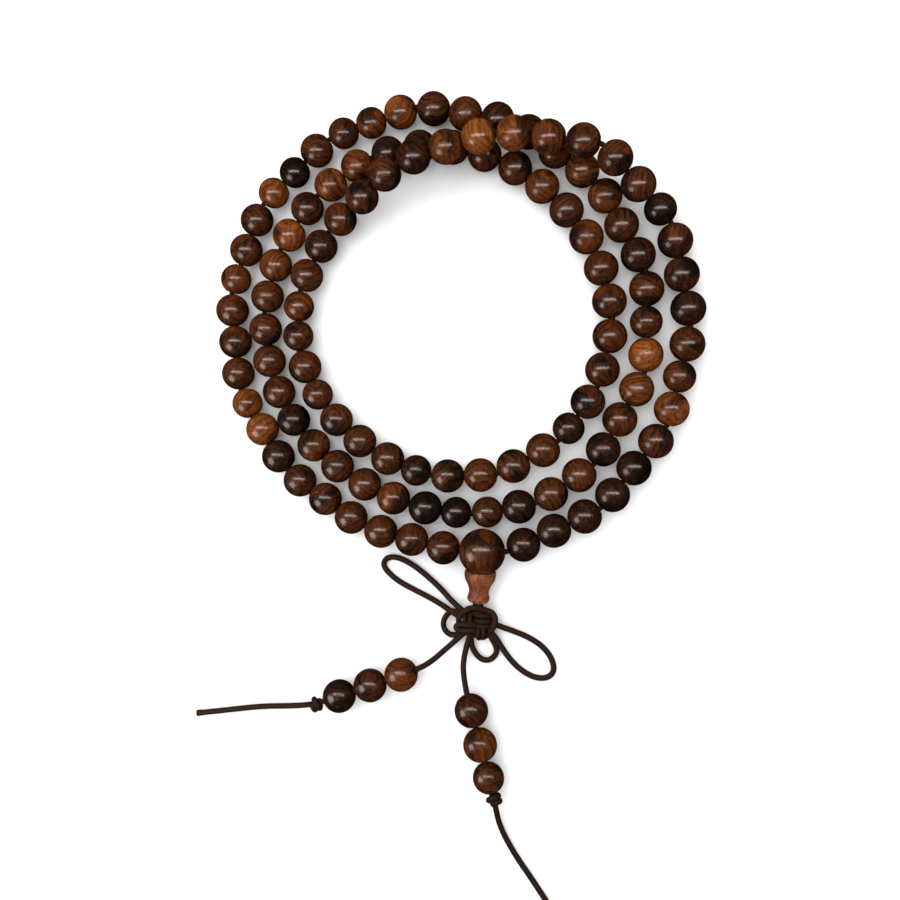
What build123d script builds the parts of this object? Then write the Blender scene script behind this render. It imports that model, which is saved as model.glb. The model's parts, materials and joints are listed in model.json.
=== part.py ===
from build123d import *
from math import asin, cos, pi, radians, sin, sqrt, tan
import os

# Mala: 108 small wooden beads and a guru bead on one cord, wound in three turns and laid on a table.
# Millimetres, +Z up. The origin is on the table in the middle of the coil, with the guru bead towards -Y.

# Strand beads
bead_diameter = 8.0
small_bead_shortfall = 0.6
small_bead_diameter = bead_diameter - small_bead_shortfall
small_beads = (9, 13, 16, 17, 19, 20, 32, 40, 41, 70, 75, 79, 81, 82, 96, 101)
bead_bore = 2.0
bore_lip = 0.2
bead_gap = 0.06
contact_gap = 0.03

# The beads of a group share one straight stretch of the cord. Threes lie where the coil is widest.
group_sizes = (3,) * 12 + (2,) * 24 + (3,) * 8

# Coil: distance of the strand from its middle at every 30 degrees, clockwise from -Y over three turns
coil_radii = (
    *(55.2, 54.8, 56.5, 57.4, 56.7, 53.5, 49.8, 44.8, 44.1, 44.5, 45.6, 47.4),
    *(46.4, 46.0, 47.8, 48.6, 47.2, 44.5, 40.4, 36.2, 35.0, 35.8, 36.6, 37.8),
    *(38.2, 38.0, 39.4, 40.5, 38.7, 37.8, 37.8, 46.6, 52.1, 53.0, 54.4, 55.8),
    56.4,
)
radius_step = 30.0
coil_sweep = 1080.0
guru_sweep = -5.9

# The third turn climbs over the other two and comes down outside them, between these sweeps
climb = (846.0, 890.0)
descent = (936.0, 972.0)
crossing_clearance = 0.4
crossing_lift = bead_diameter + crossing_clearance

# The sweep that holds a piece of strand is looked for within this span, halved this many times
search_span = 60.0
search_rounds = 40
size_rounds = 12

# Strand cord: its ends turn down inside the guru bead and run side by side to the knot
strand_cord_diameter = 1.2
cord_bore_clearance = 0.15
cord_play = (bead_bore - strand_cord_diameter) / 2 - cord_bore_clearance
cord_pair_gap = 0.1
cord_pair_width = 2 * strand_cord_diameter + cord_pair_gap
guru_turn_radius = 2.0

# Guru bead, tower bead and knot hang on one line, which dips from the guru bead to the table
guru_diameter = 10.8
guru_side_clearance = 1.6
guru_side_bore = strand_cord_diameter + guru_side_clearance
guru_lower_clearance = 0.7
guru_lower_bore = cord_pair_width + guru_lower_clearance
guru_gap = 0.15
guru_inner_reach = 5.4
pendant_swing = 6.0
tower_cup_depth = 0.5
tower_start = guru_diameter / 2 - tower_cup_depth
tower_length = 7.1
tower_flange_diameter = 7.4
tower_waist_diameter = 4.7
tower_collar_diameter = 5.3
tower_bore_clearance = 0.4
tower_bore = cord_pair_width + tower_bore_clearance
tower_rim_height = 1.0
tower_rim_width = 0.5
tower_lip = 0.4
tower_flange_share = 0.2
tower_waist_share = 0.62
tower_collar_share = 0.88
knot_gap = 0.15
knot_start = tower_start + tower_length + knot_gap
knot_grip = 1.0
knot_length = 8.0
knot_width = 9.6
knot_thickness = 4.0
knot_rounding = 1.8
knot_rest_gap = 0.6
knot_height = knot_thickness / 2 + knot_rest_gap

# Free cords. Their points are x and y from the knot's middle, and the height of the cord's underside.
cord_diameter = 1.3
upper_bow_points = (
    *((-1.9, 0.3, 1.75), (-5.8, 3.3, 1.5), (-8.8, 6.5, 0.85), (-14.5, 11.1, 0.25), (-18.5, 13.3, 0.1)),
    *((-21.2, 13.8, 0.05), (-22.8, 13.0, 0.05), (-23.2, 11.6, 0.05), (-22.1, 10.0, 0.05)),
    *((-19.5, 7.9, 0.1), (-15.9, 6.1, 0.25), (-11.9, 4.4, 0.75), (-8.1, 2.5, 1.35), (-3.7, -0.4, 1.5)),
)
lower_bow_points = (
    *((1.7, -0.5, 1.5), (4.7, -1.8, 1.35), (9.3, -3.3, 0.75), (13.3, -5.1, 0.25), (16.1, -7.3, 0.1)),
    *((17.8, -10.0, 0.05), (18.0, -12.5, 0.05), (16.4, -14.0, 0.05), (13.7, -14.1, 0.05)),
    *((10.5, -12.6, 0.1), (7.9, -10.2, 0.25), (5.9, -7.3, 0.75), (4.3, -4.4, 1.25), (1.9, -1.9, 1.5)),
)
left_ear_points = (
    *((-2.4, 0.5, 1.5), (-5.5, 2.0, 1.5), (-7.5, 0.9, 1.25), (-8.3, -1.3, 1.05), (-7.5, -3.1, 1.0)),
    *((-5.6, -4.0, 1.05), (-3.0, -3.1, 1.3)),
)
lower_ear_points = (
    *((-1.3, -1.5, 1.4), (-1.5, -5.0, 1.0), (-0.9, -7.4, 0.7), (0.7, -9.3, 0.5), (2.8, -9.7, 0.5)),
    *((4.6, -8.1, 0.7), (4.5, -5.8, 1.0), (2.7, -3.0, 1.4)),
)

# Tails: each holds three counter beads on a straight stretch, then a stopper knot, and ends bare
counter_bead_bore = 2.0
counter_gap = 0.15
counter_beads = 3
counter_travel = 0.8
lead_clearance = 0.1
straight_lead = bead_diameter / 2 + counter_beads * counter_travel + lead_clearance
stopper_diameter = 3.6
stopper_length = 2.6
stopper_rounding = 1.0
left_tail_first_bead = (-18.0, -13.9)
left_tail_heading = 200.8
left_tail_sizes = (bead_diameter, bead_diameter, bead_diameter)
left_tail_stopper_gap = 1.0
left_tail_start = ((-2.7, -2.6, 1.35), (-7.3, -7.2, 1.9))
left_tail_end = ((-46.0, -23.2, 0.8), (-54.0, -23.8, 0.02), (-62.5, -24.6, 0.02), (-71.3, -26.2, 0.02))
right_tail_first_bead = (-1.1, -21.6)
right_tail_heading = 284.7
right_tail_sizes = (bead_diameter, bead_diameter, small_bead_diameter)
right_tail_stopper_gap = 0.1
right_tail_start = ((-1.0, -2.6, 1.35), (-3.1, -8.4, 1.7))
right_tail_end = ((5.9, -49.2, 0.8), (9.5, -56.1, 0.02), (14.0, -62.4, 0.02), (21.0, -73.3, 0.02))


def smooth_step(value, start, end):
    """0 before start, 1 after end, and an easy S between them."""
    share = min(max((value - start) / (end - start), 0.0), 1.0)
    return share * share * (3 - 2 * share)


def coil_radius(sweep):
    """Radius at a sweep, on a smooth curve through the stated radii."""
    radii = [coil_radii[0]] * 2 + list(coil_radii) + [coil_radii[-1]] * 4
    place = min(sweep / radius_step + 2, len(radii) - 2.001)
    number = int(place)
    share = place - number
    before, start, end, after = radii[number - 1 : number + 3]
    bend = 2 * before - 5 * start + 4 * end - after
    twist = 3 * (start - end) + after - before
    return start + share / 2 * (end - before + share * (bend + share * twist))


def strand_point(sweep, size):
    """Middle of the strand at a sweep, on a coil whose plan is made larger by size."""
    radius = coil_radius(sweep) * size
    lift = smooth_step(sweep, *climb) - smooth_step(sweep, *descent)
    angle = radians(sweep)
    return Vector(-radius * sin(angle), -radius * cos(angle), bead_diameter / 2 + crossing_lift * lift)


def sweep_at(distance, point, sweep, size):
    """Sweep beyond this one where the strand is at a distance from a point."""
    low = sweep
    high = sweep + search_span
    for _ in range(search_rounds):
        middle = (low + high) / 2
        if (strand_point(middle, size) - point).length < distance:
            low = middle
        else:
            high = middle
    return low


def bored_length(diameter):
    """Length of a bead from one rim of its bore to the other."""
    return sqrt(diameter**2 - bead_bore**2)


def bead_sizes(first_number, count):
    """Diameters of the beads of one group."""
    numbers = range(first_number, first_number + count)
    return [small_bead_diameter if number in small_beads else bead_diameter for number in numbers]


def lay_strand(size, half_turns):
    """Lay the groups along the coil. Each group fills the straight stretch between two corners of the cord.

    half_turns holds half the cord's turn at each corner, which sets how far the beads beside it stand back.
    Returns the corners, the groups as lists of (middle, diameter), and the sweep where the guru bead comes again.
    """
    guru_reach = guru_diameter / 2 + guru_gap
    sweep = sweep_at(guru_reach / cos(half_turns[0]), guru_place(size), guru_sweep, size)
    corners = [strand_point(sweep, size)]
    groups = []
    number = 1
    for place, count in enumerate(group_sizes):
        sizes = bead_sizes(number, count)
        number += count
        offsets = [(sizes[0] + contact_gap) / 2 / cos(half_turns[place])]
        for before, after in zip(sizes, sizes[1:]):
            offsets.append(offsets[-1] + (bored_length(before) + bored_length(after)) / 2 + bead_gap)
        length = offsets[-1] + (sizes[-1] + contact_gap) / 2 / cos(half_turns[place + 1])
        sweep = sweep_at(length, corners[-1], sweep, size)
        corners.append(strand_point(sweep, size))
        along = (corners[-1] - corners[-2]).normalized()
        groups.append([(corners[-2] + along * offset, diameter) for offset, diameter in zip(offsets, sizes)])
    end_sweep = sweep_at(guru_reach / cos(half_turns[-1]), corners[-1], sweep, size)
    return corners, groups, end_sweep


def guru_place(size):
    """Middle of the guru bead, which stands on the table and keeps its inner side clear of the second turn."""
    place = strand_point(guru_sweep, size)
    outwards = Vector(place.X, place.Y, 0).normalized() * (guru_diameter / 2 - guru_inner_reach)
    return Vector(place.X + outwards.X, place.Y + outwards.Y, guru_diameter / 2)


def half_turn(before, corner, after):
    """Half the angle that a path turns by at a corner, in radians."""
    return radians((corner - before).get_angle(after - corner)) / 2


# The coil's size is the one at which its turns hold exactly these beads. A few rounds settle it.
coil_size = 1.0
corner_turns = [0.0] * (len(group_sizes) + 1)
for _ in range(size_rounds):
    strand_corners, bead_groups, end_sweep = lay_strand(coil_size, corner_turns)
    guru_middle = guru_place(coil_size)
    line = [guru_middle, *strand_corners, guru_middle]
    corner_turns = [half_turn(*three) for three in zip(line, line[1:], line[2:])]
    coil_size *= (end_sweep - guru_sweep) / coil_sweep


os.makedirs("parts", exist_ok=True)


def finish(part, name, colour):
    """Name a piece and write its file."""
    part.label = name
    part.color = Color(*colour)
    export_step(part, f"parts/{name}.step")


def group_direction(group):
    """Unit vector along a group."""
    return (group[-1][0] - group[0][0]).normalized()


def string_of_beads(middles, bore, along):
    """Bored round beads in line, from their (middle, diameter) pairs."""
    first = middles[0][0]
    with BuildPart(Plane(origin=first, z_dir=along)) as string:
        for middle, diameter in middles:
            with Locations((0, 0, (middle - first).length)):
                Sphere(diameter / 2)
                Cylinder(bore / 2, diameter, mode=Mode.SUBTRACT)
        rims = string.edges().filter_by(GeomType.CIRCLE).filter_by(lambda edge: edge.radius < bore)
        chamfer(rims, bore_lip)
    return string.part


def cord_radii(points, play=None):
    """Radius at each corner: 0.45 of the shorter run, or what the play beside the corner allows."""
    radii = []
    for before, corner, after in zip(points, points[1:], points[2:]):
        turn = half_turn(before, corner, after)
        run = min((corner - before).length, (after - corner).length)
        radius = 0.45 * run / tan(turn)
        if play:
            radius = min(radius, play / (1 / cos(turn) - 1))
        radii.append(radius)
    return radii


def cord_path(points, radii):
    """Straight runs joined by tangent arcs."""
    with BuildLine() as path:
        FilletPolyline(*points, radius=radii)
    return path


def report_cord(name, path, radii, part, diameter):
    """Print how tight the cord lies, and its volume against its section times its length."""
    length = path.wires()[0].length
    share = part.volume / (pi * diameter**2 / 4 * length)
    print(f"{name}: length {length:.1f}, least radius {min(radii):.1f}, volume share {share:.4f}")
    print("  radii", " ".join(f"{radius:.1f}" for radius in radii))


# Strand beads: each group is one node
bead_number = 0
wood = (0.30, 0.13, 0.06)
for group in bead_groups:
    name = f"strand_beads_{bead_number + 1:03d}_to_{bead_number + len(group):03d}"
    bead_number += len(group)
    finish(string_of_beads(group, bead_bore, group_direction(group)), name, wood)


# Pendant line: its plane stands on the guru bead's middle, with z down the line and x to the right
swing = radians(pendant_swing)
dip = asin((guru_diameter / 2 - knot_height) / (knot_start + knot_length / 2))
pendant_direction = Vector(-sin(swing) * cos(dip), -cos(swing) * cos(dip), -sin(dip))
pendant = Plane(origin=guru_middle, x_dir=Vector(cos(swing), -sin(swing), 0), z_dir=pendant_direction)
cord_side = pendant.x_dir * ((strand_cord_diameter + cord_pair_gap) / 2)


# Guru bead: the strand comes in at both sides and leaves below
from_the_start = (Align.CENTER, Align.CENTER, Align.MIN)
with BuildPart() as guru_bead:
    with Locations(Plane(origin=guru_middle, z_dir=pendant_direction)):
        Sphere(guru_diameter / 2)
        with Locations((0, 0, -guru_lower_bore / 2)):
            Cylinder(guru_lower_bore / 2, guru_diameter, align=from_the_start, mode=Mode.SUBTRACT)
    for corner in (strand_corners[0], strand_corners[-1]):
        with Locations(Plane(origin=guru_middle, z_dir=corner - guru_middle)):
            Cylinder(guru_side_bore / 2, guru_diameter, align=from_the_start, mode=Mode.SUBTRACT)
finish(guru_bead.part, "guru_bead", wood)


# Tower bead: a small stupa turned on one bore, with a cup that sits on the guru bead
flange = tower_flange_diameter / 2
waist = tower_waist_diameter / 2
collar = tower_collar_diameter / 2
tower_rim = tower_start - tower_rim_height
tower_end = tower_start + tower_length
tower_bore_radius = tower_bore / 2
with BuildPart(pendant) as tower_bead:
    with BuildSketch(Plane(origin=guru_middle, x_dir=pendant.x_dir, z_dir=-pendant.y_dir)):
        with BuildLine():
            Polyline(
                (tower_bore_radius, tower_end),
                (tower_bore_radius, tower_rim),
                (flange - tower_rim_width, tower_rim),
            )
            Spline(
                (flange - tower_rim_width, tower_rim),
                (flange, tower_start + tower_flange_share * tower_length),
                (waist, tower_start + tower_waist_share * tower_length),
                (collar, tower_start + tower_collar_share * tower_length),
                (collar - tower_lip, tower_end),
            )
            Line((collar - tower_lip, tower_end), (tower_bore_radius, tower_end))
        make_face()
    revolve(axis=Axis(guru_middle, pendant_direction))
    Sphere(guru_diameter / 2 + guru_gap, mode=Mode.SUBTRACT)
finish(tower_bead.part, "tower_bead", (0.45, 0.22, 0.14))


# Strand cord: knot, tower bead, guru bead, round the coil, and back the same way
knot_entry = guru_middle + pendant_direction * (knot_start + knot_grip)
strand_points = [
    knot_entry - cord_side,
    guru_middle - cord_side,
    *strand_corners,
    guru_middle + cord_side,
    knot_entry + cord_side,
]
strand_radii = cord_radii(strand_points, cord_play)
strand_radii[0] = strand_radii[-1] = guru_turn_radius


def cord_tube(name, points, radii, diameter):
    """Plain tube along a cord's path, with its figures printed."""
    path = cord_path(points, radii)
    start = points[0]
    with BuildPart() as tube:
        with BuildSketch(Plane(origin=start, z_dir=points[1] - start)):
            Circle(diameter / 2)
        sweep(path=path.wires()[0])
    report_cord(name, path, radii, tube.part, diameter)
    return tube.part


cord_colour = (0.09, 0.06, 0.045)
strand_cord = cord_tube("strand_cord", strand_points, strand_radii, strand_cord_diameter)
finish(strand_cord, "strand_cord", cord_colour)


def from_knot(points):
    """Points of a free cord, from x, y and underside."""
    radius = cord_diameter / 2
    return [Vector(knot_middle.X + x, knot_middle.Y + y, underside + radius) for x, y, underside in points]


# Knot: one rounded body with its two small ears
knot_middle = guru_middle + pendant_direction * (knot_start + knot_length / 2)
with BuildPart(Plane(origin=knot_middle, x_dir=pendant.x_dir, z_dir=pendant_direction)) as knot_body:
    Box(knot_width, knot_thickness, knot_length)
    fillet(knot_body.edges(), knot_rounding)
knot_ears = []
for ear_name, ear_points in (("left ear", left_ear_points), ("lower ear", lower_ear_points)):
    route = from_knot(ear_points)
    knot_ears.append(cord_tube(ear_name, route, cord_radii(route), cord_diameter))
with BuildPart() as knot:
    add(knot_body.part)
    add(knot_ears)
finish(knot.part, "knot", cord_colour)

# Bows
for bow_name, bow_points in (("upper_bow", upper_bow_points), ("lower_bow", lower_bow_points)):
    route = from_knot(bow_points)
    finish(cord_tube(bow_name, route, cord_radii(route), cord_diameter), bow_name, cord_colour)


def tail(side, first_bead_place, heading, sizes, stopper_gap, start, end):
    """One tail's cord, counter beads and stopper knot."""
    along = Vector(cos(radians(heading)), sin(radians(heading)), 0)
    first = Vector(knot_middle.X + first_bead_place[0], knot_middle.Y + first_bead_place[1], bead_diameter / 2)
    distance = 0.0
    middles = []
    for number, diameter in enumerate(sizes):
        if number:
            distance += (sizes[number - 1] + diameter) / 2 + counter_gap
        middles.append(first + along * distance)
        bead = string_of_beads([(middles[-1], diameter)], counter_bead_bore, along)
        finish(bead, f"{side}_counter_bead_{number + 1}", wood)
    stopper = middles[-1] + along * (sizes[-1] / 2 + stopper_gap + stopper_length / 2)
    route = [*from_knot(start), first - along * straight_lead, stopper, *from_knot(end)]
    name = f"{side}_tail_cord"
    finish(cord_tube(name, route, cord_radii(route), cord_diameter), name, cord_colour)
    with BuildPart(Plane(origin=stopper, z_dir=along)) as stopper_knot:
        Cylinder(stopper_diameter / 2, stopper_length)
        fillet(stopper_knot.edges(), stopper_rounding)
    finish(stopper_knot.part, f"{side}_stopper_knot", cord_colour)


tail(
    "left",
    left_tail_first_bead,
    left_tail_heading,
    left_tail_sizes,
    left_tail_stopper_gap,
    left_tail_start,
    left_tail_end,
)
tail(
    "right",
    right_tail_first_bead,
    right_tail_heading,
    right_tail_sizes,
    right_tail_stopper_gap,
    right_tail_start,
    right_tail_end,
)
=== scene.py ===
import json
import math
import random

import bmesh
import bpy
import numpy as np
from mathutils import Matrix, Quaternion, Vector


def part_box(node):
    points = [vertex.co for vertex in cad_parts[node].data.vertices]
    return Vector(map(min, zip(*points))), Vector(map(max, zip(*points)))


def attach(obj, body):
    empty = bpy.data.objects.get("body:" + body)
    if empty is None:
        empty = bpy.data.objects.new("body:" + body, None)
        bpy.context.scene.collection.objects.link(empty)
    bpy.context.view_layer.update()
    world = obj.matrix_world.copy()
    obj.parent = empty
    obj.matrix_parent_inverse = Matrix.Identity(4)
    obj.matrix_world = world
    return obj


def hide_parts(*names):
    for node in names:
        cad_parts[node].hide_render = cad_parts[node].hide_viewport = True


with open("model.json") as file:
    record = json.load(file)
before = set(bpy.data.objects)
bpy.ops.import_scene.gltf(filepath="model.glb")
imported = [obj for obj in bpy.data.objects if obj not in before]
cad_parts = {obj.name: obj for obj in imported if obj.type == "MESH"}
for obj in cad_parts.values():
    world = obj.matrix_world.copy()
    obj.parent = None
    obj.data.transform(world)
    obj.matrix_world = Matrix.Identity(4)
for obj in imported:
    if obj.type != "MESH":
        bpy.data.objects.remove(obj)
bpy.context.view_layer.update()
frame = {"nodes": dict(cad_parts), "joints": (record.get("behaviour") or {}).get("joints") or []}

# A mala of small rosewood beads, coiled in three turns. Metres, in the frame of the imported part.
MM = 0.001
chance = random.Random(108)
joints = {joint["name"]: joint for joint in frame["joints"]}

# ---------------------------------------------------------------- camera

camera_place = Vector((0.03693, -0.03187, 0.21723))
camera_right = Vector((0.98361, 0.0, -0.18026))
camera_up = Vector((0.00048, 1.0, 0.0026))
camera_back = Vector((0.18027, -0.00265, 0.98361))
camera_lens = 36.8
sensor_width = 36.0

lens = bpy.data.cameras.new("camera")
lens.lens = camera_lens
lens.sensor_width = sensor_width
lens.clip_start = 0.01
camera = bpy.data.objects.new("camera", lens)
turn = Matrix((camera_right, camera_up, camera_back)).transposed()
camera.matrix_world = Matrix.Translation(camera_place) @ turn.to_4x4()
bpy.context.scene.collection.objects.link(camera)
bpy.context.scene.camera = camera

# ---------------------------------------------------------------- places read from the frame

guru_middle = Vector(joints["tower_spin"]["pos_m"])
pendant_way = Vector(joints["tower_spin"]["axis"]).normalized()
knot_from_guru = 0.01615
knot_middle = guru_middle + pendant_way * knot_from_guru


def cad_points(node):
    """Vertices of a CAD node, as an array."""
    return np.array([vertex.co for vertex in frame["nodes"][node].data.vertices], float)


# A bead's bore is left out of the fit: points nearer to its line than this share of the farthest one
bore_share = 0.65


def balls_of(node, origin, along, count):
    """Middle and radius of each ball strung along a line, found from the ball's outer skin."""
    points = cad_points(node)
    distance = (points - np.array(origin)) @ np.array(along)
    off_line = points - np.array(origin) - np.outer(distance, np.array(along))
    reach = np.linalg.norm(off_line, axis=1)
    skin = reach > bore_share * reach.max()
    points, distance = points[skin], distance[skin]
    order = np.argsort(distance)
    steps = np.diff(distance[order])
    cuts = np.sort(np.argsort(steps)[len(steps) - (count - 1):]) + 1 if count > 1 else []
    found = []
    for part in np.split(order, cuts):
        ball = points[part]
        terms = np.c_[2 * ball, np.ones(len(ball))]
        answer = np.linalg.lstsq(terms, (ball**2).sum(1), rcond=None)[0]
        middle = Vector(answer[:3])
        found.append((middle, math.sqrt(answer[3] + middle.length_squared)))
    return found


# ---------------------------------------------------------------- cord routes

cord_diameter = 0.0013
cord_radius = cord_diameter / 2
# The plaited threads stand out a little from the cord's plain tube
thread_swell = 1.06
line_spacing = 0.00013

# Points are x and y from the knot's middle, and the height of the cord's underside
upper_bow_points = (
    *((-0.0019, 0.0003, 0.00175), (-0.0058, 0.0033, 0.0015), (-0.0088, 0.0065, 0.00085)),
    *((-0.0145, 0.0111, 0.00025), (-0.0185, 0.0133, 0.0001), (-0.0212, 0.0138, 0.00005)),
    *((-0.0228, 0.0130, 0.00005), (-0.0232, 0.0116, 0.00005), (-0.0221, 0.0100, 0.00005)),
    *((-0.0195, 0.0079, 0.0001), (-0.0159, 0.0061, 0.00025), (-0.0119, 0.0044, 0.00075)),
    *((-0.0081, 0.0025, 0.00135), (-0.0037, -0.0004, 0.0015)),
)
lower_bow_points = (
    *((0.0017, -0.0005, 0.0015), (0.0047, -0.0018, 0.00135), (0.0093, -0.0033, 0.00075)),
    *((0.0133, -0.0051, 0.00025), (0.0161, -0.0073, 0.0001), (0.0178, -0.0100, 0.00005)),
    *((0.0180, -0.0125, 0.00005), (0.0164, -0.0140, 0.00005), (0.0137, -0.0141, 0.00005)),
    *((0.0105, -0.0126, 0.0001), (0.0079, -0.0102, 0.00025), (0.0059, -0.0073, 0.00075)),
    *((0.0043, -0.0044, 0.00125), (0.0019, -0.0019, 0.0015)),
)
left_ear_points = (
    *((-0.0024, 0.0003, 0.0015), (-0.0054, 0.0017, 0.0015), (-0.0074, 0.0004, 0.00125)),
    *((-0.0084, -0.0018, 0.00105), (-0.0077, -0.0038, 0.001), (-0.0056, -0.0048, 0.00105)),
    (-0.0030, -0.0036, 0.0013),
)
lower_ear_points = (
    *((-0.0014, -0.0024, 0.0014), (-0.0016, -0.0057, 0.001), (-0.0012, -0.0075, 0.0007)),
    *((-0.0001, -0.0094, 0.0005), (0.0016, -0.0104, 0.0004), (0.0034, -0.0100, 0.0005)),
    *((0.0047, -0.0082, 0.0007), (0.0043, -0.0062, 0.001), (0.0027, -0.0036, 0.0014)),
)
straight_lead = 0.0065
left_tail_start = ((-0.0024, -0.0032, 0.00135), (-0.0070, -0.0073, 0.0018))
left_tail_end = (
    *((-0.0460, -0.0234, 0.0008), (-0.0540, -0.0240, 0.0001), (-0.0625, -0.0253, 0.0001)),
    (-0.0713, -0.0266, 0.0002),
)
left_stopper_distance = 0.0063
right_tail_start = ((-0.0015, -0.0036, 0.00135), (-0.0035, -0.0096, 0.0016))
right_tail_end = (
    *((0.0052, -0.0492, 0.0008), (0.0088, -0.0560, 0.0001), (0.0136, -0.0624, 0.0001)),
    (0.0210, -0.0733, 0.0002),
)
right_stopper_distance = 0.0051
upper_bow_length = 0.050
lower_bow_length = 0.044


def from_knot(points):
    """Points of a free cord, from x, y and underside."""
    places = []
    for x, y, underside in points:
        places.append(Vector((knot_middle.x + x, knot_middle.y + y, underside + cord_radius)))
    return places


def smooth_line(points):
    """Evenly spaced points along the smooth curve that a route gives."""
    route = bpy.data.curves.new("route", "CURVE")
    route.dimensions = "3D"
    spline = route.splines.new("NURBS")
    spline.points.add(len(points) - 1)
    for place, point in zip(spline.points, points):
        place.co = (*point, 1.0)
    spline.order_u = 3
    spline.use_endpoint_u = True
    spline.resolution_u = 24
    holder = bpy.data.objects.new("route", route)
    read = bpy.data.meshes.new_from_object(holder)
    line = np.array([vertex.co for vertex in read.vertices], float)
    bpy.data.objects.remove(holder)
    bpy.data.curves.remove(route)
    bpy.data.meshes.remove(read)
    gone = np.r_[0, np.cumsum(np.linalg.norm(np.diff(line, axis=0), axis=1))]
    count = int(gone[-1] / line_spacing)
    wanted = np.linspace(0, gone[-1], count + 1)
    return np.stack([np.interp(wanted, gone, line[:, axis]) for axis in range(3)], axis=1)


# ---------------------------------------------------------------- meshes


class Mesh:
    """A mesh in the making: points, faces, and the two marks that its material reads at each point."""

    def __init__(self):
        self.points, self.faces, self.marks, self.tones = [], [], [], []
        self.count = 0

    def grid(self, points, marks, tone, closed=False):
        """Join a grid of points (along, around, 3) into quads. Each row closes on itself.

        A closed grid also joins its last row to its first.
        """
        along, around = points.shape[:2]
        index = np.arange(along * around).reshape(along, around) + self.count
        rows = np.vstack([index, index[:1]]) if closed else index
        rows = np.hstack([rows, rows[:, :1]])
        corners = (rows[:-1, :-1], rows[:-1, 1:], rows[1:, 1:], rows[1:, :-1])
        self.faces += np.stack(corners, axis=-1).reshape(-1, 4).tolist()
        self.points.append(points.reshape(-1, 3))
        self.marks.append(marks.reshape(-1, 3))
        self.tones.append(np.full(along * around, tone))
        self.count += along * around
        return index

    def cap(self, ring, outwards):
        """Close a ring of points with one face."""
        self.faces.append([int(point) for point in (ring if outwards else ring[::-1])])

    def piece(self, name, finish, sharp=180.0):
        """The finished object, smooth except where its faces meet more sharply than this angle."""
        data = bpy.data.meshes.new(name)
        data.from_pydata(np.vstack(self.points).tolist(), [], self.faces)
        marks = data.attributes.new("grain", "FLOAT_VECTOR", "POINT")
        marks.data.foreach_set("vector", np.vstack(self.marks).astype(np.float32).ravel())
        tones = data.attributes.new("tone", "FLOAT", "POINT")
        tones.data.foreach_set("value", np.concatenate(self.tones).astype(np.float32))
        work = bmesh.new()
        work.from_mesh(data)
        bmesh.ops.recalc_face_normals(work, faces=work.faces)
        for face in work.faces:
            face.smooth = True
        for edge in work.edges:
            if len(edge.link_faces) == 2 and math.degrees(edge.calc_face_angle(0.0)) > sharp:
                edge.smooth = False
        work.to_mesh(data)
        work.free()
        data.materials.append(finish)
        made = bpy.data.objects.new(name, data)
        bpy.context.scene.collection.objects.link(made)
        return made


def across(along):
    """Two unit vectors square to a direction and to each other."""
    side = along.cross(Vector((0, 0, 1)))
    if side.length < 0.1:
        side = along.cross(Vector((0, 1, 0)))
    side.normalize()
    return np.array(side), np.array(along.cross(side))


# About how many radians a wobble's waves turn through over a piece's radius
wave_count = 1.6


def lathe(mesh, middle, along, profile, segments, wood_cut, wobble=0.0, closed=True):
    """Turn a profile of (distance along, radius) about a line.

    wood_cut is the wood's tone, the turn of its own axes, and its place in the plank in millimetres.
    wobble is how far the piece may fall short of round, as a share.
    """
    tone, turn_grain, offset = wood_cut
    side, other = across(along)
    angles = np.linspace(0, 2 * math.pi, segments, endpoint=False)
    ring = np.cos(angles)[:, None] * side + np.sin(angles)[:, None] * other
    shape = np.array(profile)
    points = shape[:, 1, None, None] * ring[None] + shape[:, 0, None, None] * np.array(along)
    if wobble:
        waves = [Vector([chance.gauss(0, 1) for _ in range(3)]) for _ in range(3)]
        size = np.abs(shape).max()
        ripple = sum(np.sin(points / size @ np.array(wave) * wave_count + wave.x) for wave in waves) / 3
        points = points * (1 - wobble * (0.5 + 0.5 * ripple))[..., None]
    marks = points / MM @ np.array(turn_grain.to_matrix()).T + np.array(offset)
    return mesh.grid(points + np.array(middle), marks, tone, closed)


def any_turn():
    """A seeded turn in space, with no direction preferred."""
    return Quaternion([chance.gauss(0, 1) for _ in range(4)]).normalized()


def rim(end, bore, lip, turns):
    """Rounded rim of a bore, as (distance along, radius) at some turns of its corner in radians."""
    return [(end - lip * (1 - math.cos(turn)), bore + lip * (1 - math.sin(turn))) for turn in turns]


def bored_ball(radius, bore, lip):
    """Closed profile of a round bead with a bore and rounded rims, as (distance along, radius)."""
    steps = 36
    start = math.asin((bore + lip) / radius)
    arc = [start + (math.pi - 2 * start) * step / steps for step in range(steps + 1)]
    outside = [(-radius * math.cos(angle), radius * math.sin(angle)) for angle in arc]
    end = radius * math.cos(start)
    corner = rim(end, bore, lip, (0.5, 1.05, 1.57))
    inside = [(end * share, bore) for share in (0.6, 0.2, -0.2, -0.6)]
    return outside + corner + inside + [(-distance, reach) for distance, reach in corner[::-1]]


# The plait has this many threads each way, and its tube this many sides. Cords don't vary in tone.
carriers = 6
tube_sides = 30
cord_tone = 0.5

# How far a cord's end flares, in radii
flare_length = 1.2


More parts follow.
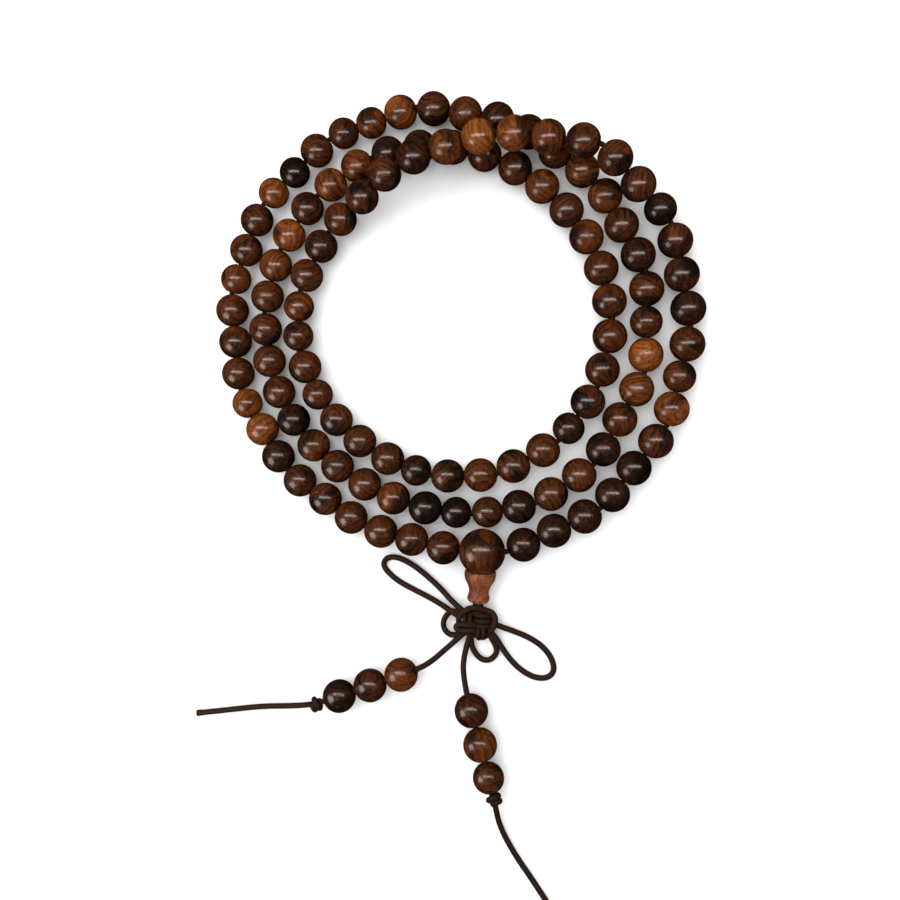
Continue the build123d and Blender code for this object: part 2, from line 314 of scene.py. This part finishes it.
def braided_tube(mesh, line, radius, rib=0.045, plait=2.1, flare_at_end=0.0):
    """A cord of plaited threads along a line. rib is how far the threads stand out, as a share of the radius.

    plait is how far along the cord a thread goes round once, in diameters. The last end may flare by a share.
    """
    way = np.gradient(line, axis=0)
    way /= np.linalg.norm(way, axis=1)[:, None]
    side = np.array(across(Vector(way[0]))[0])
    gone = np.r_[0, np.cumsum(np.linalg.norm(np.diff(line, axis=0), axis=1))]
    turns = np.linspace(0, 1, tube_sides, endpoint=False)
    round_way = np.cos(2 * math.pi * turns)[:, None]
    round_side = np.sin(2 * math.pi * turns)[:, None]
    points = np.zeros((len(line), tube_sides, 3))
    marks = np.zeros((len(line), tube_sides, 3))
    pitch = plait * 2 * radius
    for number, (place, forward) in enumerate(zip(line, way)):
        side = side - forward * (side @ forward)
        side /= np.linalg.norm(side)
        other = np.cross(forward, side)
        right_hand = carriers * (turns + gone[number] / pitch)
        left_hand = carriers * (turns - gone[number] / pitch)
        over = (np.floor(right_hand) + np.floor(left_hand)) % 2
        thread = np.abs(np.sin(math.pi * np.where(over < 0.5, right_hand, left_hand)))
        flare = flare_at_end * math.exp(-(gone[-1] - gone[number]) / (flare_length * radius))
        reach = radius * (1 - rib + rib * thread) * (1 + flare)
        points[number] = place + reach[:, None] * (round_way * side + round_side * other)
        # The third mark is the thread's height, which the braid finish turns into painted shade in the
        # grooves and painted light on the crowns
        marks[number] = np.stack([np.full(tube_sides, gone[number] / MM), turns, thread], axis=1)
    index = mesh.grid(points, marks, cord_tone)
    mesh.cap(index[0], False)
    mesh.cap(index[-1], True)


# ---------------------------------------------------------------- shader trees


class Signal:
    """A socket's output. Python's operators on it add Math nodes."""

    def __init__(self, finish, socket):
        self.finish, self.socket = finish, socket

    def math(self, operation, *values):
        return self.finish.node("ShaderNodeMath", {"operation": operation}, dict(enumerate(values)))

    def __add__(self, other):
        return self.math("ADD", self, other)

    def __radd__(self, other):
        return self.math("ADD", other, self)

    def __sub__(self, other):
        return self.math("SUBTRACT", self, other)

    def __rsub__(self, other):
        return self.math("SUBTRACT", other, self)

    def __mul__(self, other):
        return self.math("MULTIPLY", self, other)

    def __truediv__(self, other):
        return self.math("DIVIDE", self, other)


class Finish:
    """One material's tree of nodes, ending in one shader."""

    def __init__(self, name, constants):
        self.material = bpy.data.materials.new(name)
        self.material.use_nodes = True
        self.tree = self.material.node_tree
        self.tree.nodes.clear()
        self.shader = self.tree.nodes.new("ShaderNodeBsdfPrincipled")
        out = self.tree.nodes.new("ShaderNodeOutputMaterial")
        self.tree.links.new(self.shader.outputs["BSDF"], out.inputs["Surface"])
        for socket, value in constants.items():
            self.shader.inputs[socket].default_value = value

    def feed(self, socket, value):
        """Link a signal to a socket, or set the socket to a number, a colour or a vector."""
        if isinstance(value, Signal):
            self.tree.links.new(value.socket, socket)
        else:
            socket.default_value = value

    def node(self, kind, settings=None, sockets=None, output=0):
        """Add a node: its settings first, then what its sockets hold, and give back one output."""
        made = self.tree.nodes.new(kind)
        for name, value in (settings or {}).items():
            if name == "stops":
                self.set_stops(made.color_ramp, value)
            else:
                setattr(made, name, value)
        for key, value in (sockets or {}).items():
            self.feed(made.inputs[key], value)
        return Signal(self, made.outputs[output])

    @staticmethod
    def set_stops(ramp, stops):
        while len(ramp.elements) < len(stops):
            ramp.elements.new(0.5)
        for element, (place, colour) in zip(ramp.elements, stops):
            element.position = place
            element.color = (*colour, 1.0)

    def mark(self, name, output):
        return self.node("ShaderNodeAttribute", {"attribute_name": name}, output=output)

    def stretch(self, vector, scale):
        return self.node("ShaderNodeVectorMath", {"operation": "MULTIPLY"}, {0: vector, 1: scale})

    def shift(self, vector, other):
        return self.node("ShaderNodeVectorMath", {"operation": "ADD"}, {0: vector, 1: other})

    def noise(self, vector, scale, detail, roughness=0.5, output=0):
        sockets = {"Vector": vector, "Scale": scale, "Detail": detail, "Roughness": roughness}
        return self.node("ShaderNodeTexNoise", None, sockets, output)

    def step(self, value, low, high):
        """0 below low, 1 above high, with an easy S between them."""
        sockets = {"Value": value, "From Min": low, "From Max": high}
        return self.node("ShaderNodeMapRange", {"interpolation_type": "SMOOTHSTEP"}, sockets)

    def ramp(self, value, stops):
        return self.node("ShaderNodeValToRGB", {"stops": stops}, {"Fac": value})

    def blend(self, share, first, second):
        sockets = {0: share, 6: first, 7: second}
        return self.node("ShaderNodeMix", {"data_type": "RGBA"}, sockets, output=2)

    def bump(self, height, distance, strength):
        sockets = {"Height": height, "Distance": distance, "Strength": strength}
        return self.node("ShaderNodeBump", None, sockets)

    def surface(self, **sockets):
        for name, value in sockets.items():
            self.feed(self.shader.inputs[name.replace("_", " ")], value)


def srgb(red, green, blue):
    """A linear colour from its usual 0 to 255 numbers."""
    parts = [value / 255 for value in (red, green, blue)]
    return tuple(part / 12.92 if part <= 0.04045 else ((part + 0.055) / 1.055) ** 2.4 for part in parts)


# ---------------------------------------------------------------- wood

# Rosewood from its dark heart streaks to its orange brown, at the places on the scale of tones
rosewood_stops = (
    (0.0, srgb(12, 7, 4)),
    (0.25, srgb(28, 14, 7)),
    (0.5, srgb(58, 27, 8)),
    (0.75, srgb(94, 46, 13)),
    (1.0, srgb(138, 77, 28)),
)
# The tower's paler, unpolished wood
tower_stops = (
    (0.0, srgb(58, 28, 12)),
    (0.35, srgb(100, 50, 22)),
    (0.7, srgb(134, 76, 36)),
    (1.0, srgb(172, 112, 62)),
)

pore_colour = srgb(16, 9, 6)
wood_relief = 0.00004

# Scales of the wood's noises, in waves per millimetre: twice across the grain, then along it
sway_scale = (0.16, 0.16, 0.05)
uneven_scale = (0.5, 0.5, 0.05)
fibre_scale = (5.5, 5.5, 0.32)
streak_scale = (1.7, 1.7, 0.1)
zone_scale = (0.2, 0.2, 0.07)
pore_scale = (7.5, 7.5, 0.9)
fleck_scale = 3.2

# How far the grain sways, in millimetres, and what brings a noise's middle to nothing
sway_reach = (5.0, 5.0, 5.0)
to_middle = (-0.5, -0.5, -0.5)


def wood(name, stops, ring_width, zone_depth, roughness, pore_depth, shine):
    """Turned wood: warped growth rings, long fibres and pores along the grain, and broad dark zones.

    The grain mark is in millimetres, and so is ring_width.
    """
    finish = Finish(name, {"IOR": 1.46, "Specular IOR Level": shine})
    grain = finish.mark("grain", 1)
    tone = finish.mark("tone", 2)
    sway = finish.noise(finish.stretch(grain, sway_scale), 1.0, 2.0, 0.5, output=1)
    evened = finish.shift(sway, to_middle)
    swayed = finish.shift(grain, finish.stretch(evened, sway_reach))
    flat = finish.stretch(swayed, (1.0, 1.0, 0.0))
    from_pith = finish.node("ShaderNodeVectorMath", {"operation": "LENGTH"}, {0: flat}, output=1)
    years = from_pith / ring_width
    season = years.math("FRACT", years)
    late = finish.step(season, 0.45, 0.95) * (1 - finish.step(season, 0.95, 1.0))
    uneven = finish.noise(finish.stretch(swayed, uneven_scale), 1.0, 2.0)
    fibre = finish.noise(finish.stretch(swayed, fibre_scale), 1.0, 4.0, 0.62)
    streak = finish.noise(finish.stretch(swayed, streak_scale), 1.0, 3.0, 0.55)
    zone = finish.noise(finish.stretch(swayed, zone_scale), 1.0, 2.0, 0.45)
    pore = finish.step(finish.noise(finish.stretch(grain, pore_scale), 1.0, 1.0, 0.4), 0.62, 0.72)
    fleck = finish.step(finish.noise(grain, fleck_scale, 3.0, 0.6), 0.6, 0.78)
    dark_zone = finish.step(zone, 0.5, 0.68) * zone_depth
    shade = tone + (fibre - 0.5) * 0.65 + (streak - 0.5) * 0.75
    shade = shade - late * uneven * 0.36 - dark_zone + fleck * 0.04
    colour = finish.ramp(shade, stops)
    colour = finish.blend(pore * pore_depth, colour, (*pore_colour, 1.0))
    polish = roughness + (fibre - 0.5) * 0.16 + pore * 0.2
    height = fibre * 0.5 - pore * 0.8 - late * 0.3
    normal = finish.bump(height, wood_relief, 0.55)
    finish.surface(Base_Color=colour, Roughness=polish, Normal=normal)
    return finish.material


rosewood = wood(
    "polished_rosewood", rosewood_stops,
    ring_width=1.35, zone_depth=0.36, roughness=0.21, pore_depth=0.6, shine=0.5,
)
guru_rosewood = wood(
    "guru_rosewood", rosewood_stops,
    ring_width=2.8, zone_depth=0.36, roughness=0.21, pore_depth=0.4, shine=0.5,
)
sanded_rosewood = wood(
    "sanded_rosewood", tower_stops,
    ring_width=1.1, zone_depth=0.25, roughness=0.42, pore_depth=0.7, shine=0.25,
)


# ---------------------------------------------------------------- cord finish

cord_dark = srgb(11, 7, 5)
cord_bright = srgb(47, 27, 15)
cord_gloss = {"Specular IOR Level": 0.12, "IOR": 1.4}
thread_relief = 0.00005

# Scales of the thread's fibres and of its worn places: per millimetre along, then per turn round
hair_scale = (14.0, 40.0, 0.0)
worn_scale = (0.35, 2.0, 0.0)

# Hidden cord has no such mark, so its fibres are per metre in every direction
hidden_hair_scale = 2600.0


def braid(name):
    """Fine plaited nylon thread: painted shade between the threads, painted light on their crowns, and
    patches of wear along it.
    """
    finish = Finish(name, cord_gloss)
    grain = finish.mark("grain", 1)
    thread = finish.node("ShaderNodeSeparateXYZ", None, {0: grain}, output=2)
    hair = finish.noise(finish.stretch(grain, hair_scale), 1.0, 3.0, 0.6)
    worn = finish.noise(finish.stretch(grain, worn_scale), 1.0, 2.0)
    # Painted shade and painted light: the thread's height darkens the grooves between threads and lightens
    # their crowns, and fibres and worn patches vary it further
    share = finish.step(thread, 0.15, 1.0) * 0.62 + (hair - 0.5) * 0.7 + (worn - 0.5) * 0.35 + 0.18
    colour = finish.blend(share, (*cord_dark, 1.0), (*cord_bright, 1.0))
    normal = finish.bump(thread * 0.6 + hair * 0.4, thread_relief, 0.6)
    finish.surface(Base_Color=colour, Roughness=0.62 + (hair - 0.5) * 0.2, Normal=normal)
    return finish.material


def plain_cord(name):
    """The same thread where it is hidden in the bores, with its fibres taken from the place alone."""
    finish = Finish(name, cord_gloss)
    place = finish.node("ShaderNodeTexCoord", output=3)
    hair = finish.noise(place, hidden_hair_scale, 3.0, 0.6)
    colour = finish.blend(finish.step(hair, 0.3, 0.7), (*cord_dark, 1.0), (*cord_bright, 1.0))
    normal = finish.bump(hair, thread_relief, 0.5)
    finish.surface(Base_Color=colour, Roughness=0.6 + hair * 0.1, Normal=normal)
    return finish.material


braided_cord = braid("braided_brown_cord")
hidden_cord = plain_cord("brown_cord_in_bores")


# ---------------------------------------------------------------- strand beads

bead_bore = 0.001
bead_lip = 0.0002
bead_sides = 56
bead_wobble = 0.02

# Beads that are darker or lighter than the rest, by their number on the strand
darkest_beads = (17, 41, 42)
dark_beads = (7, 24, 25, 30, 36, 39, 47, 57, 58, 70, 75, 84, 88, 96, 99, 104, 105, 106, 107, 108)
light_beads = (13, 20, 27, 28, 34, 43, 46, 52, 56, 62, 64, 82, 89, 92)
lightest_beads = (8, 9, 16, 21, 33, 53, 55, 90, 91, 102)

# Tones are drawn between these, on the scale of the rosewood tones
darkest_tones = (0.16, 0.2)
dark_tones = (0.3, 0.38)
usual_tones = (0.5, 0.6)
light_tones = (0.66, 0.72)
lightest_tones = (0.78, 0.86)

# Where a bead is cut from the plank, in millimetres: out from the heart, to its side and along the grain
from_heart = (6.0, 30.0)
beside_heart = (-6.0, 6.0)
along_plank = (-200.0, 200.0)


def bead_tone(number):
    """How light a strand bead's wood is, on the scale of the rosewood tones."""
    tones = usual_tones
    if number in darkest_beads:
        tones = darkest_tones
    elif number in dark_beads:
        tones = dark_tones
    elif number in light_beads:
        tones = light_tones
    elif number in lightest_beads:
        tones = lightest_tones
    return chance.uniform(*tones)


def string_bead(mesh, middle, radius, along, tone):
    """One bead of a string, cut from its own place in the plank."""
    offset = [chance.uniform(*reach) for reach in (from_heart, beside_heart, along_plank)]
    profile = bored_ball(radius, bead_bore, bead_lip)
    lathe(mesh, middle, along, profile, bead_sides, (tone, any_turn(), offset), bead_wobble)


bead_number = 0
for node in sorted(name for name in frame["nodes"] if name.startswith("strand_beads_")):
    spin = joints["spin_" + node.removeprefix("strand_beads_")]
    first, last = (int(number) for number in node.removeprefix("strand_beads_").split("_to_"))
    along = Vector(spin["axis"]).normalized()
    string = Mesh()
    for middle, radius in balls_of(node, spin["pos_m"], along, last - first + 1):
        bead_number += 1
        string_bead(string, middle, radius, along, bead_tone(bead_number))
    beads = string.piece(node.replace("strand_beads", "turned_beads"), rosewood)
    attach(beads, node)
    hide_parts(node)

# ---------------------------------------------------------------- guru bead and tower

guru_bore = 0.0016
guru_lip = 0.0003
guru_sharp = 50.0
guru_tone = 0.56
guru_in_plank = (14.0, 2.0, 37.0)
guru_grain = Matrix.Rotation(math.radians(78), 3, "X").to_quaternion()
large_sides = 96


def make_guru():
    """The large bead, with a blind bore below for both cords.

    The CAD bead's two side bores are not drawn, so the strand cord runs into its unbroken surface.
    """
    radius = balls_of("guru_bead", guru_middle, pendant_way, 1)[0][1]
    start = math.asin((guru_bore + guru_lip) / radius)
    steps = 64
    arc = [start + (math.pi - start) * step / steps for step in range(steps)]
    outside = [(radius * math.cos(angle), radius * math.sin(angle)) for angle in arc]
    end = radius * math.cos(start)
    inside = [(end * share, guru_bore) for share in (0.05, 0.4, 0.7)]
    profile = inside + rim(end, guru_bore, guru_lip, (1.57, 1.0, 0.5)) + outside
    mesh = Mesh()
    wood_cut = (guru_tone, guru_grain, guru_in_plank)
    index = lathe(mesh, guru_middle, pendant_way, profile, large_sides, wood_cut, closed=False)
    mesh.cap(index[0], True)
    mesh.cap(index[-1], True)
    return mesh.piece("guru", guru_rosewood, guru_sharp)


guru = make_guru()
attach(guru, "root")
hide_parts("guru_bead")

# Tower: distance from the guru bead's middle and radius, down its outside, in millimetres. The cup's
# radius is about the guru bead's middle.
tower_outline = (
    *((4.42, 3.35), (4.6, 3.56), (5.0, 3.68), (5.5, 3.7), (6.0, 3.66), (6.6, 3.5), (7.2, 3.2)),
    *((7.8, 2.86), (8.4, 2.58), (9.0, 2.4), (9.5, 2.32), (10.0, 2.32), (10.4, 2.42), (10.8, 2.56)),
    *((11.2, 2.62), (11.5, 2.58), (11.8, 2.44), (11.95, 2.3), (12.0, 2.1)),
)
tower_cup = 5.55
tower_bore = 1.45
tower_sharp = 40.0
tower_tone = 0.52
tower_in_plank = (9.0, 4.0, 0.0)
tower_grain = Matrix.Rotation(math.radians(20), 3, "Y").to_quaternion()


def make_tower():
    """The turned tower bead, with a cup that hugs the guru bead."""
    outside = [(distance * MM, reach * MM) for distance, reach in tower_outline]
    first_angle = math.asin(tower_outline[0][1] / tower_cup)
    last_angle = math.asin(tower_bore / tower_cup)
    cup = []
    steps = 8
    for step in range(steps + 1):
        angle = last_angle + (first_angle - last_angle) * step / steps
        cup.append((tower_cup * math.cos(angle) * MM, tower_cup * math.sin(angle) * MM))
    bore = [(distance * MM, tower_bore * MM) for distance in (12.0, 10.5, 9.0, 7.0)]
    mesh = Mesh()
    wood_cut = (tower_tone, tower_grain, tower_in_plank)
    lathe(mesh, guru_middle, pendant_way, cup + outside + bore, large_sides, wood_cut)
    return mesh.piece("tower", sanded_rosewood, tower_sharp)


tower = make_tower()
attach(tower, "tower_bead")
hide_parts("tower_bead")

# ---------------------------------------------------------------- tails and bows

drawn_radius = cord_radius * thread_swell
cord_sharp = 60.0
tail_end_flare = 0.22


def cord_piece(name, node, points, flare_at_end=0.0):
    """A braided cord on its route, with the line that it follows."""
    line = smooth_line(points)
    mesh = Mesh()
    braided_tube(mesh, line, drawn_radius, flare_at_end=flare_at_end)
    made = mesh.piece(name, braided_cord, cord_sharp)
    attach(made, "root")
    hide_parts(node)
    return made, line


# The stopper knot's coil, in metres and degrees
coil_points = 21
coil_first_angle = 40
coil_step_angle = 32
coil_reach = 0.00128
coil_tuck = 0.0007
coil_height = 0.0022
coil_sway = 0.00035


def stopper_coil(middle, along):
    """The route of a stopper knot: nearly two turns about the cord, with its ends tucked in."""
    side, other = (Vector(vector) for vector in across(along))
    points = []
    for step in range(coil_points):
        angle = math.radians(coil_first_angle + coil_step_angle * step)
        share = step / (coil_points - 1)
        reach = coil_reach - coil_tuck * (abs(share - 0.5) * 2) ** 6
        height = (share - 0.5) * coil_height + coil_sway * math.sin(angle)
        outwards = side * math.cos(angle) + other * math.sin(angle)
        points.append(middle + along * height + outwards * reach)
    return points


def make_tail(side, tones, start, end, stopper_distance):
    """One tail: its cord, its three counter beads and its stopper knot."""
    along = -Vector(joints[f"{side}_slide_3"]["axis"]).normalized()
    middles = []
    for number, tone in enumerate(tones, 1):
        node = f"{side}_counter_bead_{number}"
        low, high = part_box(node)
        middle, radius = balls_of(node, (low + high) / 2, along, 1)[0]
        mesh = Mesh()
        string_bead(mesh, middle, radius, along, tone)
        bead = mesh.piece(f"{side}_turned_counter_bead_{number}", rosewood)
        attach(bead, node)
        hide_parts(node)
        middles.append(middle)
    stopper = middles[-1] + along * stopper_distance
    entry = middles[0] - along * straight_lead
    before, after = from_knot(start), from_knot(end)
    straight_start = entry + along * (entry - before[-1]).length
    straight_end = stopper - along * (after[0] - stopper).length
    route = [*before, entry, straight_start, straight_end, stopper, *after]
    cord, line = cord_piece(f"{side}_tail", f"{side}_tail_cord", route, tail_end_flare)
    mesh = Mesh()
    braided_tube(mesh, smooth_line(stopper_coil(stopper, along)), drawn_radius)
    knot = mesh.piece(f"{side}_overhand_knot", braided_cord, cord_sharp)
    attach(knot, "root")
    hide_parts(f"{side}_stopper_knot")


# Tones of the counter beads, from the knot outwards
left_tones = (0.66, 0.5, 0.32)
right_tones = (0.42, 0.64, 0.54)
make_tail(
    "left", left_tones, left_tail_start, left_tail_end, left_stopper_distance,
)
make_tail(
    "right", right_tones, right_tail_start, right_tail_end, right_stopper_distance,
)

for bow_name, bow_points, bow_length in (
    ("upper_bow", upper_bow_points, upper_bow_length),
    ("lower_bow", lower_bow_points, lower_bow_length),
):
    bow, bow_line = cord_piece(bow_name + "_loop", bow_name, from_knot(bow_points))

# ---------------------------------------------------------------- knot

# The weave lies a little further from the guru bead than the middle of the knot's solid
weave_shift = 0.0012
weave_middle = Vector((knot_middle.x, knot_middle.y - weave_shift, 0))

# The knot's strands: each has its thickness as a share of the cord's, then its points. They are x and y
# from the weave's middle, and the height of the cord's middle, in millimetres. The thinner strands are
# pulled tight, so their threads lie steeper and stand out more.
knot_strands = (
    # Over the top
    (1.0, (
        (-3.2, -1.6, 1.6), (-4.1, -0.6, 2.8), (-4.3, 0.9, 3.4), (-3.5, 2.4, 3.6), (-1.8, 3.5, 3.7),
        (0.2, 3.8, 3.7), (2.0, 3.3, 3.4), (3.2, 2.4, 2.7), (4.0, 1.4, 1.7),
    )),
    # Right ear
    (1.0, (
        (1.6, 2.6, 2.2), (2.6, 3.0, 2.9), (3.8, 2.6, 3.2), (4.6, 1.2, 3.3), (4.3, -0.5, 3.3),
        (3.4, -1.7, 3.0), (2.2, -2.4, 2.0),
    )),
    # Left upright
    (0.86, (
        (-2.7, 2.9, 1.4), (-2.75, 2.2, 3.0), (-2.75, 1.0, 3.9), (-2.7, -0.2, 3.8),
        (-2.65, -1.2, 2.4), (-2.6, -1.6, 1.2),
    )),
    # Right upright
    (0.86, (
        (-1.4, 3.0, 1.4), (-1.45, 2.2, 3.0), (-1.45, 1.0, 4.0), (-1.4, -0.2, 3.9),
        (-1.4, -1.2, 2.4), (-1.3, -1.7, 1.2),
    )),
    # Upper bar
    (0.86, (
        (-0.9, 1.9, 1.4), (-0.4, 1.85, 2.9), (0.8, 1.8, 3.7), (2.2, 1.75, 3.6), (3.1, 1.7, 2.6),
        (3.6, 1.7, 1.4),
    )),
    # Middle bar
    (0.86, (
        (-1.0, 0.6, 1.4), (-0.4, 0.6, 3.0), (0.8, 0.55, 3.9), (2.2, 0.5, 3.8), (3.2, 0.5, 2.7),
        (3.7, 0.5, 1.4),
    )),
    # Lower bar
    (0.86, (
        (-0.6, -0.6, 1.4), (0.0, -0.6, 3.0), (1.0, -0.65, 3.7), (2.2, -0.7, 3.6), (3.1, -0.7, 2.6),
        (3.6, -0.8, 1.4),
    )),
    # Left hairpin
    (0.95, (
        (1.0, -0.7, 2.2), (0.2, -0.5, 3.4), (-1.6, -0.35, 4.3), (-3.8, -0.2, 4.0),
        (-4.9, -0.7, 3.5), (-4.7, -1.6, 3.5), (-3.2, -1.75, 4.0), (-1.6, -1.7, 4.3),
        (-0.2, -1.6, 3.6), (0.6, -1.5, 2.2),
    )),
    # Left post
    (0.86, (
        (0.5, -0.4, 1.6), (0.5, -1.0, 3.3), (0.5, -2.0, 3.9), (0.45, -3.0, 3.6), (0.4, -3.7, 2.6),
        (0.4, -3.8, 1.2),
    )),
    # Right post
    (0.86, (
        (1.75, -0.4, 1.6), (1.75, -1.0, 3.3), (1.75, -2.0, 3.9), (1.65, -3.0, 3.5),
        (1.5, -3.6, 2.5), (1.5, -3.7, 1.1),
    )),
    # Slant
    (0.9, (
        (-3.4, -0.9, 1.6), (-3.0, -1.9, 2.6), (-2.0, -2.7, 3.0), (-0.8, -3.0, 2.8),
        (0.2, -2.9, 2.0),
    )),
    # Under left
    (1.0, (
        (-4.0, 2.2, 1.4), (-2.0, 1.4, 1.7), (0.0, 0.4, 1.6), (2.0, -0.6, 1.5), (3.6, -1.8, 1.3),
    )),
    # Under right
    (1.0, (
        (3.6, 2.2, 1.3), (1.8, 0.8, 1.6), (-0.4, -0.4, 1.7), (-2.2, -1.6, 1.6), (-3.4, -2.6, 1.4),
    )),
    # Under middle
    (1.0, (
        (0.2, 3.4, 1.5), (0.3, 1.6, 1.3), (0.2, -0.8, 1.2), (0.0, -3.0, 1.2),
    )),
    # Under low
    (1.0, (
        (-3.4, 0.4, 1.1), (-1.2, -0.2, 0.9), (1.2, -0.4, 0.9), (3.4, 0.2, 1.1),
    )),
    # Under top
    (1.0, (
        (-3.2, 1.9, 1.7), (-1.6, 2.5, 2.0), (0.6, 2.7, 2.1), (2.4, 2.3, 1.9), (3.5, 1.2, 1.6),
    )),
    # Under arc
    (1.0, (
        (-2.6, 1.0, 2.4), (-0.8, 2.2, 2.7), (1.2, 2.4, 2.7), (2.6, 1.2, 2.4),
    )),
    # Under waist
    (1.0, (
        (-3.6, -0.6, 2.2), (-1.6, 0.1, 2.6), (0.6, 0.0, 2.7), (2.8, -0.3, 2.2),
    )),
    # Under foot
    (1.0, (
        (-1.6, -2.4, 1.6), (0.2, -2.9, 2.1), (1.6, -2.9, 2.1), (2.8, -2.2, 1.6),
    )),
    # Under toe
    (1.0, (
        (-0.6, -3.1, 1.3), (0.4, -3.6, 1.5), (1.6, -3.6, 1.5), (2.4, -2.9, 1.3),
    )),
)


tight_size = 0.95
tight_rib = 0.16
tight_plait = 1.1
loose_rib = 0.05


def make_knot():
    """The woven knot: its strands, with the two small ears that belong to it."""
    mesh = Mesh()
    for size, points in knot_strands:
        route = [weave_middle + Vector(point) * MM for point in points]
        if size < tight_size:
            braided_tube(mesh, smooth_line(route), drawn_radius * size, tight_rib, tight_plait)
        else:
            braided_tube(mesh, smooth_line(route), drawn_radius * size, loose_rib)
    for points in (left_ear_points, lower_ear_points):
        braided_tube(mesh, smooth_line(from_knot(points)), drawn_radius)
    return mesh.piece("woven_knot", braided_cord, cord_sharp)


knot = make_knot()
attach(knot, "root")
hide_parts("knot")

strand = frame["nodes"]["strand_cord"]
strand.data.materials.clear()
strand.data.materials.append(hidden_cord)

# ---------------------------------------------------------------- floor and light

floor_size = 4.0
floor_greys = (0.93, 0.95)
world_grey = 0.7


def make_floor():
    """A pale tabletop under the beads."""
    data = bpy.data.meshes.new("tabletop")
    half = floor_size / 2
    corners = [(-half, -half, 0), (half, -half, 0), (half, half, 0), (-half, half, 0)]
    data.from_pydata(corners, [], [(0, 1, 2, 3)])
    finish = Finish("pale_tabletop", {"IOR": 1.2})
    place = finish.node("ShaderNodeTexCoord", output=3)
    cloudy = finish.noise(place, 9.0, 2.0)
    darker, lighter = ((grey, grey, grey, 1.0) for grey in floor_greys)
    colour = finish.blend(cloudy, darker, lighter)
    finish.surface(Base_Color=colour, Roughness=0.9 + cloudy * 0.05)
    data.materials.append(finish.material)
    floor = bpy.data.objects.new("tabletop", data)
    floor.visible_glossy = False
    bpy.context.scene.collection.objects.link(floor)


warm_glint = (1.0, 0.85, 0.77)


def softbox(name, place, aim, width, height, brightness, gloss_only=False):
    """A square-cornered soft light at a place, facing another.

    It either lights matt surfaces and has no highlight, or is warmer and shows only as a highlight.
    """
    light = bpy.data.lights.new(name, "AREA")
    light.shape = "RECTANGLE"
    light.size, light.size_y = width, height
    light.energy = brightness * width * height * math.pi
    made = bpy.data.objects.new(name, light)
    facing = (Vector(place) - Vector(aim)).to_track_quat("Z", "Y").to_matrix().to_4x4()
    made.matrix_world = Matrix.Translation(place) @ facing
    made.visible_camera = False
    made.visible_glossy = gloss_only
    made.visible_diffuse = not gloss_only
    if gloss_only:
        light.color = warm_glint
    bpy.context.scene.collection.objects.link(made)


make_floor()
coil_middle = (0, 0, 0)
softbox("upper_left_key", (-0.55, 0.7, 1.0), coil_middle, 1.9, 1.9, 1.45)
softbox("overhead_fill", (0, 0, 1.5), coil_middle, 2.6, 2.6, 1.1)
softbox("strip_in_gloss", (0.037, 0.012, 0.217), (0.037, 0.004, 0), 0.4, 0.038, 15.0, gloss_only=True)
softbox("window_in_gloss", (-0.13, -0.11, 0.11), (0.01, -0.02, 0), 0.1, 0.1, 8.0, gloss_only=True)

studio = bpy.data.worlds.new("studio")
studio.use_nodes = True
studio.node_tree.nodes["Background"].inputs["Color"].default_value = (world_grey, world_grey, world_grey, 1.0)
bpy.context.scene.world = studio
studio.cycles_visibility.glossy = False
bpy.context.scene.view_settings.view_transform = "Standard"
